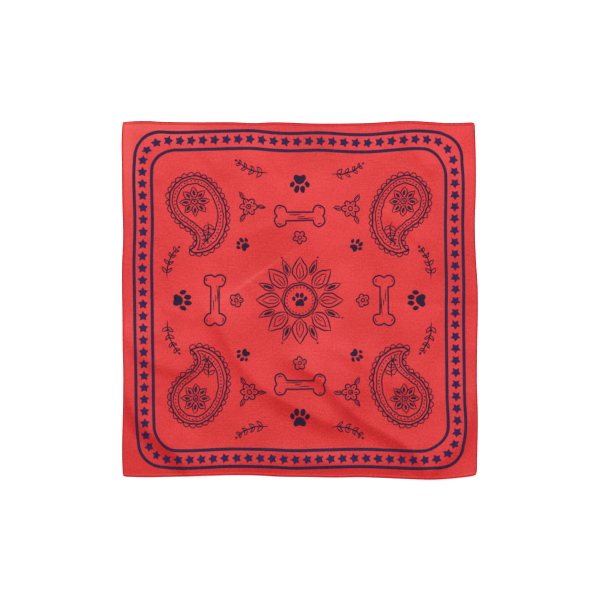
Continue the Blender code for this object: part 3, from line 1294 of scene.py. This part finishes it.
@dataclass
class Print:
    """Lays flat ink shapes on the cloth as a thin film."""

    form: ClothForm
    surface: BVHTree
    warp: SquareMap = SquareMap(PRINT_EDGES, PRINT_SLIPS, 233 * MM, 237.6 * MM)
    lift: float = 0.07 * MM
    film: float = 0.05 * MM
    ray_height: float = 50 * MM

    def lay(self, name: str, mesh: bpy.types.Mesh, ink: bpy.types.Material) -> bpy.types.Object:
        """Lays a flat mesh, drawn round the origin, on the cloth.

        Args:
            name: the name of the finished piece.
            mesh: the flat shapes, in metres on the print's own plan.
            ink: the material that they wear.

        Returns:
            The piece, a closed film that follows the cloth.
        """
        drawn = points_of(mesh)
        x, y = self.warp.plan(drawn[:, 0] / self.warp.half_width,
                              drawn[:, 1] / self.warp.half_height)
        down = Vector((0, 0, -1))
        z = [self.surface.ray_cast(Vector((px, py, self.ray_height)), down)[0].z
             for px, py in zip(x, y)]
        move_points(mesh, np.stack([x, y, drawn[:, 2] + np.array(z) + self.lift], axis=-1))
        thing = link(name, mesh)
        film = thing.modifiers.new("film", "SOLIDIFY")
        film.thickness = self.film
        film.offset = 1.0
        mesh = evaluated_mesh(thing)
        write_flat_map(mesh, self.form)
        mesh.materials.clear()
        mesh.materials.append(ink)
        shade(mesh)
        return link(name, mesh)


def declare_print(thing: bpy.types.Object) -> None:
    """Tells the frame what a piece of the print is."""
    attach(thing, BODY)


DOT_CORNERS = 10
STAR_POINTS = 5
STAR_CUTS = 2


def line_tree() -> GeometryTree:
    """The tree that turns pen lines into flat ribbons of ink, each as wide as its radius says.

    Returns:
        The tree.
    """
    tree = GeometryTree("ink_lines", {"Step": Socket.LENGTH, "Points across": Socket.COUNT,
                                      "Material": Socket.MATERIAL})
    bench, inputs = tree.bench, tree.start.outputs
    even = bench.add("GeometryNodeResampleCurve", {"Curve": inputs["Geometry"],
                                                   "Length": inputs["Step"]}, mode="LENGTH")
    flat = bench.add("GeometryNodeSetCurveNormal", {"Curve": even.outputs[0]}, mode="Z_UP")
    unit = bench.add("GeometryNodeCurvePrimitiveLine", {"Start": (-UNIT_RADIUS, 0, 0),
                                                        "End": (UNIT_RADIUS, 0, 0)})
    nib = bench.add("GeometryNodeResampleCurve", {"Curve": unit.outputs[0],
                                                  "Count": inputs["Points across"]})
    width = bench.add("GeometryNodeInputRadius")
    ribbon = bench.add("GeometryNodeCurveToMesh", {
        "Curve": flat.outputs[0], "Profile Curve": nib.outputs[0], "Scale": width.outputs[0]})
    tree.finish(ribbon.outputs[0])
    return tree


def dot_tree() -> GeometryTree:
    """The tree that sets round dots along a path.

    Returns:
        The tree.
    """
    tree = GeometryTree("dots_along_path", {
        "Pitch": Socket.LENGTH, "Radius": Socket.LENGTH, "Material": Socket.MATERIAL})
    bench, inputs = tree.bench, tree.start.outputs
    spots = bench.add("GeometryNodeCurveToPoints", {"Curve": inputs["Geometry"],
                                                    "Length": inputs["Pitch"]}, mode="LENGTH")
    dot = bench.add("GeometryNodeMeshCircle", {"Vertices": DOT_CORNERS,
                                               "Radius": inputs["Radius"]}, fill_type="NGON")
    placed = bench.add("GeometryNodeInstanceOnPoints", {
        "Points": spots.outputs["Points"], "Instance": dot.outputs["Mesh"]})
    tree.finish(placed.outputs[0])
    return tree


def star_tree() -> GeometryTree:
    """The tree that sets stars along a path, each with one point towards the next.

    Returns:
        The tree.
    """
    tree = GeometryTree("stars_along_path", {
        "Stars": Socket.COUNT, "Outer radius": Socket.LENGTH, "Inner radius": Socket.LENGTH,
        "Material": Socket.MATERIAL})
    bench, inputs = tree.bench, tree.start.outputs
    spots = bench.add("GeometryNodeCurveToPoints", {"Curve": inputs["Geometry"],
                                                    "Count": inputs["Stars"]}, mode="COUNT")
    outline = bench.add("GeometryNodeCurveStar", {
        "Points": STAR_POINTS, "Inner Radius": inputs["Inner radius"],
        "Outer Radius": inputs["Outer radius"]})
    star = bench.add("GeometryNodeFillCurve", {"Curve": outline.outputs["Curve"]})
    fine = bench.add("GeometryNodeSubdivideMesh", {"Mesh": star.outputs["Mesh"],
                                                   "Level": STAR_CUTS})
    along = bench.add("FunctionNodeAlignRotationToVector", {"Vector": spots.outputs["Tangent"]},
                      axis="X")
    placed = bench.add("GeometryNodeInstanceOnPoints", {
        "Points": spots.outputs["Points"], "Instance": fine.outputs["Mesh"],
        "Rotation": along.outputs[0]})
    tree.finish(placed.outputs[0])
    return tree


def rounded_rectangle(half_width: float, half_height: float, radius: float, start_x: float,
                      step: float = 3 * MM) -> Array:
    """A closed rounded rectangle, walked clockwise from a point on its upper side.

    Args:
        half_width: half its width.
        half_height: half its height.
        radius: the radius of its corners.
        start_x: the x of its first point, on the upper side.
        step: the spacing of the points in its corners.

    Returns:
        The points, the first of which isn't repeated at the end.
    """
    points = [(start_x, half_height)]
    turns = max(3, int(radius * math.pi / 2 / step))
    for number, (sx, sy) in enumerate(((1, 1), (1, -1), (-1, -1), (-1, 1))):
        centre_x, centre_y = sx * (half_width - radius), sy * (half_height - radius)
        for angle in np.linspace(math.pi / 2, 0, turns + 1) - number * math.pi / 2:
            points.append((centre_x + radius * math.cos(angle),
                           centre_y + radius * math.sin(angle)))
    return np.array(points)


@dataclass
class StarBorder:
    """Two rounded lines with a row of stars between them."""

    printer: Print
    stars: int = 103
    star_radius: float = 8.0 * MM
    star_waist: float = 0.56
    first_star_x: float = -4.3 * MM
    line_width: float = 4.75 * MM
    outer_gap: float = 12.4 * MM
    inner_gap: float = 13.6 * MM
    star_corner: float = 33 * MM
    outer_corner: float = 36 * MM
    inner_corner: float = 34.5 * MM
    step: float = 1.8 * MM
    points_across: int = 5
    star_ink: Ink = Ink()
    line_ink: Ink = Ink("line_ink", (0.014, 0.010, 0.041), (0.042, 0.016, 0.054))

    def path(self, gap: float, corner: float) -> Array:
        """The rounded path that lies `gap` outside the row of stars."""
        warp = self.printer.warp
        return rounded_rectangle(warp.half_width + gap, warp.half_height + gap, corner,
                                 self.first_star_x)

    def build(self, lines: GeometryTree, stars: GeometryTree) -> list[bpy.types.Object]:
        """Prints the two lines and the stars.

        Args:
            lines: the tree for lines.
            stars: the tree for stars.

        Returns:
            The finished pieces.
        """
        line_ink, star_ink = self.line_ink.material(), self.star_ink.material()
        things = []
        for name, gap, corner in (("print_outer_line", self.outer_gap, self.outer_corner),
                                  ("print_inner_line", -self.inner_gap, self.inner_corner)):
            line = even_line(self.path(gap, corner), self.line_width, closed=True)
            mesh = lines.run(curve_object(name, [line]),
                             {"Step": self.step, "Points across": self.points_across,
                              "Material": line_ink})
            things.append(self.printer.lay(name, mesh, line_ink))
        row = even_line(self.path(0.0, self.star_corner), self.line_width, closed=True)
        mesh = stars.run(curve_object("star_path", [row]), {
            "Stars": self.stars, "Outer radius": self.star_radius,
            "Inner radius": self.star_radius * self.star_waist,
            "Material": star_ink})
        things.append(self.printer.lay("print_stars", mesh, star_ink))
        return things


# ---------------------------------------------------------------------------------------------
# The drawing in the middle, with its motifs' sizes in millimetres
# ---------------------------------------------------------------------------------------------


# An open line thins out over one part in five at each end, to this share of its width
LINE_ENDS = 5
LINE_THINNEST = 0.45
BLOB_POINTS = 13
BLOB_REACH = 0.995
LEAF_POINTS = 16
LEAF_BELLY = 0.8
LEAF_WIDTH = 0.42


class Pen:
    """Draws a motif's lines in millimetres on the motif's own plan."""

    def __init__(self, nib: float) -> None:
        """Takes the width of a full line.

        Args:
            nib: the width of a full line, in millimetres.
        """
        self.nib = nib
        self.strokes: list[PenLine] = []
        self.dots: list[PenLine] = []

    def line(self, points: Array, weight: float) -> None:
        """Draws an open line that thins out at both ends.

        Args:
            points: its points in order.
            weight: its width as a share of the nib.
        """
        share = np.linspace(0, 1, len(points))
        swell = smooth_step(np.minimum(share, 1 - share) * LINE_ENDS)
        weight *= LINE_THINNEST + (1 - LINE_THINNEST) * swell
        self.strokes.append(PenLine(points, self.nib * weight))

    def loop(self, points: Array, weight: float) -> None:
        """Draws a closed line."""
        self.strokes.append(even_line(points, self.nib * weight, closed=True))

    def blob(self, centre: Sequence[float], length: float, width: float, turn: float) -> None:
        """Fills an ellipse.

        Args:
            centre: its middle.
            length: its size along its own axis.
            width: its size across.
            turn: the direction of its axis, in radians.
        """
        along = np.sin(np.linspace(-math.pi / 2, math.pi / 2, BLOB_POINTS)) * BLOB_REACH
        points = np.array(centre) + 0.5 * length * along[:, None] * heading(turn)
        self.strokes.append(PenLine(points, width * np.sqrt(1 - along ** 2)))

    def row(self, points: Array) -> None:
        """Sets a row of dots along a closed path."""
        self.dots.append(even_line(points, self.nib, closed=True))

    def leaf(self, base: Array, turn: float, length: float, width: float, weight: float) -> None:
        """Draws both sides of a pointed leaf, each from its base to its tip.

        Args:
            base: where it starts.
            turn: the direction that it points in, in radians.
            length: its length.
            width: its full width.
            weight: the weight of its lines.
        """
        share = np.linspace(0, 1, LEAF_POINTS)[:, None]
        middle = np.array(base) + share * length * heading(turn)
        swell = 0.5 * width * np.sin(math.pi * share ** LEAF_BELLY) * heading(turn + math.pi / 2)
        self.line(middle + swell, weight)
        self.line(middle - swell, weight)


def heading(turn: float | Array) -> Array:
    """The direction at an angle, or at each of a row of angles."""
    return np.stack([np.cos(turn), np.sin(turn)], axis=-1)


def arc(centre: Sequence[float], radius: float, start: float, end: float, count: int) -> Array:
    """Points on an arc.

    Args:
        centre: its centre.
        radius: its radius.
        start: the angle of its first point, in radians.
        end: the angle of its last point, in radians.
        count: how many points it has.

    Returns:
        The points in order.
    """
    return np.array(centre) + radius * heading(np.linspace(start, end, count))


def circle(radius: float, count: int = 40) -> Array:
    """The points of a circle round the origin, for a closed line."""
    return arc((0, 0), radius, 0, math.tau * (1 - 1 / count), count)


@dataclass(frozen=True)
class Paisley:
    """A teardrop that curls at its tip, with a fringe, a flower and a leafy tail."""

    length: float = 132.0
    half_width: float = 37.0
    bend: float = 2.5
    bend_power: float = 2.6
    head: float = 0.29
    fullness: float = 1.25
    fringe_count: int = 34
    fringe_height: float = 4.6
    petals: int = 8
    samples: int = 240

    def bent(self, along: Array, across: Array) -> Array:
        """Bends a straight teardrop.

        Args:
            along: shares of its length from the round end, 0, to the tip, 1.
            across: distances to the left of its spine.

        Returns:
            The points.
        """
        share = np.linspace(-0.1, 1.1, 400)
        turn = self.bend * np.clip(share, 0, None) ** self.bend_power
        steps = heading(turn) * self.length * (share[1] - share[0])
        spine = np.cumsum(steps, axis=0)
        x = np.interp(along, share, spine[:, 0])
        y = np.interp(along, share, spine[:, 1])
        side = np.interp(along, share, turn) + math.pi / 2
        return np.stack([x, y], axis=-1) + np.asarray(across)[..., None] * heading(side)

    def contour(self, size: float) -> Array:
        """The outline drawn in to a share of its full size, round the middle of its head.

        Args:
            size: the share.

        Returns:
            The points of a closed line.
        """
        t = np.linspace(0, math.tau, self.samples, endpoint=False)
        along = 0.5 + 0.5 * np.cos(t)
        across = self.half_width * 1.35 * np.sin(t) * np.abs(np.sin(t / 2)) ** self.fullness
        return self.bent(self.head + (along - self.head) * size, across * size)

    def draw(self, pen: Pen) -> None:
        """Draws it from its round end, at the origin, towards +X, curling to the left.

        Args:
            pen: the pen that draws it.
        """
        outer = self.contour(1.0)
        pen.loop(outer, 1.25)
        pen.loop(self.contour(0.89), 0.9)
        pen.row(self.contour(0.80))
        pen.loop(self.contour(0.70), 1.0)
        self.draw_fringe(pen, outer)
        self.draw_flower(pen)
        self.draw_tail(pen)

    def draw_fringe(self, pen: Pen, outer: Array) -> None:
        """Draws the row of scallops outside the outline.

        Args:
            pen: the pen that draws it.
            outer: the points of the outline.
        """
        ahead = np.roll(outer, -1, axis=0) - np.roll(outer, 1, axis=0)
        lengths = np.linalg.norm(np.diff(np.vstack([outer, outer[:1]]), axis=0), axis=1)
        walked = np.concatenate([[0.0], np.cumsum(lengths)])
        even = np.linspace(0, walked[-1], self.fringe_count * 10, endpoint=False)
        ring = np.vstack([outer, outer[:1]])
        normals = np.stack([ahead[:, 1], -ahead[:, 0]], axis=-1)
        normals /= np.linalg.norm(normals, axis=1)[:, None]
        outward = np.vstack([normals, normals[:1]])
        if np.dot(outer[0] - outer.mean(axis=0), outward[0]) < 0:
            outward = -outward
        place = np.stack([np.interp(even, walked, ring[:, k]) for k in (0, 1)], axis=-1)
        push = np.stack([np.interp(even, walked, outward[:, k]) for k in (0, 1)], axis=-1)
        lift = np.abs(np.sin(math.pi * self.fringe_count * even / walked[-1])) ** 0.7
        pen.loop(place + push * (1.0 + self.fringe_height * lift)[:, None], 0.8)

    def draw_flower(self, pen: Pen) -> None:
        """Draws the flower in the head.

        Args:
            pen: the pen that draws it.
        """
        centre = self.bent(np.array([self.head]), np.array([0.0]))[0]
        reach = self.half_width * 0.56
        for number in range(self.petals):
            turn = math.tau * number / self.petals
            base = centre + 0.27 * reach * heading(turn)
            pen.leaf(base, turn, reach * 0.82, reach * 0.46, 0.85)
            pen.blob(base + 0.36 * reach * heading(turn), reach * 0.44, reach * 0.2, turn)
        pen.loop(centre + circle(reach * 0.2, 20), 0.9)
        pen.blob(centre, reach * 0.2, reach * 0.2, 0.0)

    def draw_tail(self, pen: Pen) -> None:
        """Draws the stem in the tail, with leaves in pairs that get smaller.

        Args:
            pen: the pen that draws it.
        """
        along = np.linspace(0.56, 0.86, 24)
        pen.line(self.bent(along, np.zeros(24)), 0.9)
        for share, size in ((0.60, 12.0), (0.68, 9.0), (0.76, 6.0)):
            base, ahead = self.bent(np.array([share, share + 0.02]), np.zeros(2))
            turn = math.atan2(*(ahead - base)[::-1])
            for side in (1, -1):
                pen.leaf(base, turn + side * 0.85, size, size * LEAF_WIDTH, 0.75)


@dataclass(frozen=True)
class Bone:
    """A toy bone in outline, with a few strokes of shading."""

    half_length: float = 29.0
    half_shaft: float = 6.2
    knob: float = 8.6
    knob_offset: float = 7.4

    def outline(self, size: float = 1.0) -> Array:
        """The outline, with the four knobs at a share of their size.

        Args:
            size: the share of the full size.

        Returns:
            The points of a closed line.
        """
        knob, shaft = self.knob * size, self.half_shaft * size
        meet = math.asin((self.knob_offset - shaft) / knob)
        notch = math.asin(self.knob_offset / self.knob * 0.92)
        upper = arc((self.half_length, self.knob_offset), knob, math.pi + meet, -notch, 18)
        end = np.vstack([upper, (upper * (1, -1))[::-1]])
        return np.vstack([end, -end])

    def draw(self, pen: Pen) -> None:
        """Draws it along X with its middle at the origin.

        Args:
            pen: the pen that draws it.
        """
        pen.loop(self.outline(), 1.2)
        for x, half, y in ((-9.0, 13.0, 3.1), (7.0, 9.0, -2.6), (-3.0, 5.0, 0.3)):
            pen.line(np.array([(x - half, y), (x, y + 0.6), (x + half, y)]), 0.8)
        for side in (1, -1):
            centre = (side * self.half_length, self.knob_offset)
            turn = math.pi / 2 - side * 0.2
            pen.line(arc(centre, self.knob * 0.58, turn - 0.7, turn + 0.7, 9), 0.8)
            pen.line(-arc(centre, self.knob * 0.58, turn - 0.5, turn + 0.5, 9), 0.8)


@dataclass(frozen=True)
class PawPrint:
    """A solid paw print: one broad pad and four toes."""

    width: float = 26.0
    drawn_width: float = 26.0

    def draw(self, pen: Pen) -> None:
        """Draws it with its toes towards +Y.

        Args:
            pen: the pen that draws it.
        """
        unit = self.width / self.drawn_width
        for x, y, length, width, turn in (
                (0.0, -3.4, 11.5, 12.5, 90), (-3.9, -6.0, 8.6, 7.6, 65), (3.9, -6.0, 8.6, 7.6, 115),
                (-9.6, 2.2, 8.4, 5.8, 112), (-3.7, 8.0, 9.6, 6.4, 97), (3.7, 8.0, 9.6, 6.4, 83),
                (9.6, 2.2, 8.4, 5.8, 68)):
            pen.blob((x * unit, y * unit), length * unit, width * unit, math.radians(turn))


@dataclass(frozen=True)
class Blossom:
    """A small open flower with three leaves."""

    radius: float = 13.0
    petals: int = 6
    leaves: tuple[float, ...] = (0.5, 2.6, 4.7)
    leaf_length: float = 13.0

    def draw(self, pen: Pen) -> None:
        """Draws it round the origin.

        Args:
            pen: the pen that draws it.
        """
        turn = np.linspace(0, math.tau, self.petals * 14, endpoint=False)
        edge = self.radius * (0.52 + 0.48 * np.abs(np.sin(self.petals * turn / 2)) ** 0.6)
        pen.loop(edge[:, None] * heading(turn), 1.0)
        pen.loop(circle(self.radius * 0.27, 18), 0.9)
        pen.blob((0, 0), self.radius * 0.26, self.radius * 0.26, 0.0)
        for number in range(self.petals):
            middle = (number + 0.5) * math.tau / self.petals
            spoke = np.linspace(0.42, 0.74, 4)[:, None] * self.radius
            pen.line(spoke * heading(middle), 0.75)
        for middle in self.leaves:
            base = self.radius * 0.98 * heading(middle)
            pen.leaf(base, middle, self.leaf_length, self.leaf_length * LEAF_WIDTH, 0.85)
            pen.line(base + np.linspace(0.1, 0.8, 5)[:, None] * self.leaf_length * heading(middle),
                     0.7)


@dataclass(frozen=True)
class Sprig:
    """A curved stem with leaves on both sides and a berry at its end."""

    length: float = 46.0
    curl: float = 0.9
    pairs: int = 4
    leaf_length: float = 11.0

    def draw(self, pen: Pen) -> None:
        """Draws it from the origin towards +X, curling to the left.

        Args:
            pen: the pen that draws it.
        """
        share = np.linspace(0, 1, 30)
        turn = self.curl * share
        stem = np.cumsum(heading(turn), axis=0) * self.length / len(share)
        pen.line(stem, 1.0)
        for number in range(self.pairs):
            k = int((number + 0.8) / (self.pairs + 0.4) * len(share))
            size = self.leaf_length * (1 - 0.12 * number)
            for side in (1, -1):
                pen.leaf(stem[k], turn[k] + side * 0.8, size, size * 0.40, 0.8)
        pen.blob(stem[-1] + 2.2 * heading(turn[-1]), 4.2, 4.2, 0.0)


@dataclass(frozen=True)
class Medallion:
    """Pointed petals round a ring of dots and a paw print."""

    ring: float = 23.0
    petals: int = 8
    petal_length: float = 38.0
    petal_width: float = 22.0

    def draw(self, pen: Pen) -> None:
        """Draws it round the origin.

        Args:
            pen: the pen that draws it.
        """
        PawPrint(24.0).draw(pen)
        pen.loop(circle(self.ring), 1.2)
        pen.loop(circle(self.ring + 3.2), 0.9)
        pen.row(circle(self.ring - 3.4))
        base = self.ring + 4.2
        for number in range(self.petals):
            turn = math.tau * number / self.petals
            between = turn + math.pi / self.petals
            pen.leaf(base * heading(turn), turn, self.petal_length, self.petal_width, 1.1)
            pen.leaf((base + 4.0) * heading(turn), turn, self.petal_length * 0.66,
                     self.petal_width * 0.5, 0.8)
            pen.line((base + np.linspace(6, 19, 6)[:, None]) * heading(turn), 0.7)
            pen.leaf((base + 13.0) * heading(between), between, self.petal_length * 0.68,
                     self.petal_width * LEAF_WIDTH, 0.9)
            pen.blob((base + 24.0) * heading(between), 15.0, 4.4, between)
            pen.blob((base + self.petal_length + 4.2) * heading(between), 3.4, 3.4, 0.0)


class Motif(NamedTuple):
    """One motif and its place in the drawing: millimetres, degrees, and mirrored or not."""

    shape: Paisley | Bone | PawPrint | Blossom | Sprig | Medallion
    x: float
    y: float
    turn: float
    mirrored: bool = False


def in_four_quarters(shape: object, x: float, y: float, turn: float) -> list[Motif]:
    """The same motif in each quarter of the drawing, mirrored across both axes."""
    return [Motif(shape, x, y, turn), Motif(shape, -x, y, 180 - turn, True),
            Motif(shape, -x, -y, turn + 180), Motif(shape, x, -y, -turn, True)]


def on_four_sides(shape: object, away: float, turn: float) -> list[Motif]:
    """The same motif above, left of, below and right of the middle."""
    return [Motif(shape, *(away * heading(math.radians(side))), turn + side)
            for side in (90, 180, 270, 0)]


@dataclass
class CentreDesign:
    """The motifs in navy pen lines. The nib, the wobble and its length are in millimetres."""

    printer: Print
    nib: float = 1.92
    wobble: float = 0.45
    wobble_length: float = 14.0
    seed: int = 23
    layers: int = 6
    layer_step: float = 0.008 * MM
    step: float = 1.7 * MM
    points_across: int = 3
    dot_pitch: float = 5.4 * MM
    dot_radius: float = 1.15 * MM
    ink: Ink = Ink("pen_ink", (0.010, 0.006, 0.026), (0.034, 0.011, 0.034))

    def motifs(self) -> list[Motif]:
        """Every motif of the drawing and its place."""
        return [
            Motif(Medallion(), 0, 0, 0),
            *in_four_quarters(Paisley(), 194, 182, 222),
            *on_four_sides(Bone(), 126, 90),
            *on_four_sides(PawPrint(31.0), 176, 90),
            *on_four_sides(Blossom(10.0, leaves=(), petals=5), 94, 0),
            *in_four_quarters(Sprig(52.0), 46, 190, -8),
            *in_four_quarters(Sprig(52.0), 196, 30, 82),
            *in_four_quarters(Blossom(13.0), 76, 138, 30),
            *in_four_quarters(PawPrint(22.0), 84, 82, -45),
        ]

    def place(self, line: PenLine, motif: Motif, random: np.random.Generator) -> PenLine:
        """Puts one line of a motif in the drawing, slightly shaky.

        Args:
            line: the line on the motif's own plan, in millimetres.
            motif: the motif and its place.
            random: the source of the shake.

        Returns:
            The line on the print's plan, in metres, with a layer's height.
        """
        points = line.points * ((1, -1) if motif.mirrored else (1, 1))
        turn = math.radians(motif.turn)
        across = heading(turn + math.pi / 2)
        points = points[:, :1] * heading(turn) + points[:, 1:] * across + (motif.x, motif.y)
        phases = random.uniform(0, math.tau, 4)
        for axis in (0, 1):
            for number, stretch in enumerate((1.0, 0.43)):
                wave = points @ heading(phases[axis] + number) / (self.wobble_length * stretch)
                points[:, axis] += self.wobble * stretch * np.sin(math.tau * wave
                                                                  + phases[2 + axis])
        layer = random.integers(self.layers) * self.layer_step
        height = np.full((len(points), 1), layer)
        return PenLine(np.hstack([points * MM, height]), line.widths * MM, line.closed)

    def build(self, lines: GeometryTree, dots: GeometryTree) -> list[bpy.types.Object]:
        """Prints the drawing's lines and its rows of dots.

        Args:
            lines: the tree for lines.
            dots: the tree for rows of dots.

        Returns:
            The finished pieces.
        """
        random = np.random.default_rng(self.seed)
        strokes, rows = [], []
        for motif in self.motifs():
            pen = Pen(self.nib)
            motif.shape.draw(pen)
            strokes += [self.place(line, motif, random) for line in pen.strokes]
            rows += [self.place(line, motif, random) for line in pen.dots]
        material = self.ink.material()
        mesh = lines.run(curve_object("drawing_lines", strokes),
                         {"Step": self.step, "Points across": self.points_across,
                          "Material": material})
        drawing = self.printer.lay("print_drawing", mesh, material)
        mesh = dots.run(curve_object("drawing_dots", rows),
                        {"Pitch": self.dot_pitch, "Radius": self.dot_radius,
                         "Material": material})
        return [drawing, self.printer.lay("print_dots", mesh, material)]


# ---------------------------------------------------------------------------------------------
# The studio
# ---------------------------------------------------------------------------------------------


@dataclass
class Studio:
    """A pale floor, soft light from beyond the upper edge, and a camera straight above."""

    view_width: float = 896.3 * MM
    lens: float = 200.0
    sensor: float = 36.0
    aim: tuple[float, float] = (0.2 * MM, 0.25 * MM)
    floor_side: float = 12.0
    floor_level: float = -0.02 * MM
    key_place: tuple[float, float, float] = (-0.40, 5.80, 6.60)
    key_size: float = 4.6
    key_power: float = 1099.0
    sky: float = 0.22

    def build(self) -> None:
        """Builds the floor, the light and the camera."""
        self.floor()
        self.light()
        self.camera()

    def floor(self) -> None:
        """A flat pale floor just below the cloth."""
        half = self.floor_side / 2
        level = self.floor_level
        corners = np.array([[(-half, -half, level), (half, -half, level)],
                            [(-half, half, level), (half, half, level)]])
        floor = link("floor", grid_mesh("floor", corners))
        floor.data.materials.append(PaleFloor().material())

    def light(self) -> None:
        """One large soft lamp beyond the upper edge, and an even white sky."""
        lamp = bpy.data.lights.new("key", "AREA")
        lamp.shape = "SQUARE"
        lamp.size = self.key_size
        lamp.energy = self.key_power
        key = bpy.data.objects.new("key", lamp)
        key.location = self.key_place
        key.rotation_euler = (-Vector(self.key_place)).to_track_quat("-Z", "Y").to_euler()
        bpy.context.scene.collection.objects.link(key)
        world = bpy.data.worlds.new("sky")
        world.use_nodes = True
        background = world.node_tree.nodes["Background"]
        background.inputs["Color"].default_value = (1.0, 1.0, 1.0, 1.0)
        background.inputs["Strength"].default_value = self.sky
        bpy.context.scene.world = world
        bpy.context.scene.view_settings.view_transform = "Standard"

    def camera(self) -> None:
        """A long lens straight above the scarf, with +Y up in the picture."""
        lens = bpy.data.cameras.new("camera")
        lens.lens = self.lens
        lens.sensor_width = self.sensor
        lens.clip_end = 20.0
        camera = bpy.data.objects.new("camera", lens)
        camera.location = (*self.aim, self.lens / self.sensor * self.view_width)
        bpy.context.scene.collection.objects.link(camera)
        bpy.context.scene.camera = camera


def report(thing: bpy.types.Object) -> None:
    """Writes one finished piece to the log."""
    triangles = sum(len(face.vertices) - 2 for face in thing.data.polygons)
    LOG.info("%s: %d triangles", thing.name, triangles)


def main() -> None:
    """Builds the scarf and its studio, piece by piece."""
    logging.basicConfig(level=logging.INFO, format="%(name)s: %(message)s")
    form = ClothForm()
    Studio().build()
    panel = Panel(form, Cotton())
    report(panel.build())
    hems = [TurnedHem(side, form, HEM_COTTON) for side in Side]
    for hem in hems:
        report(hem.build())
        hem.declare()
    stitching = StitchRow.tree()
    rows = [StitchRow(hem, Thread()) for hem in hems]
    for row in rows:
        report(row.build(stitching))
        row.declare()
    printer = Print(form, panel.surface())
    lines = line_tree()
    inked = StarBorder(printer).build(lines, star_tree())
    inked += CentreDesign(printer).build(lines, dot_tree())
    for thing in inked:
        report(thing)
        declare_print(thing)
    panel.declare([piece.thing for piece in hems + rows] + inked)


if __name__ == "__main__":
    main()
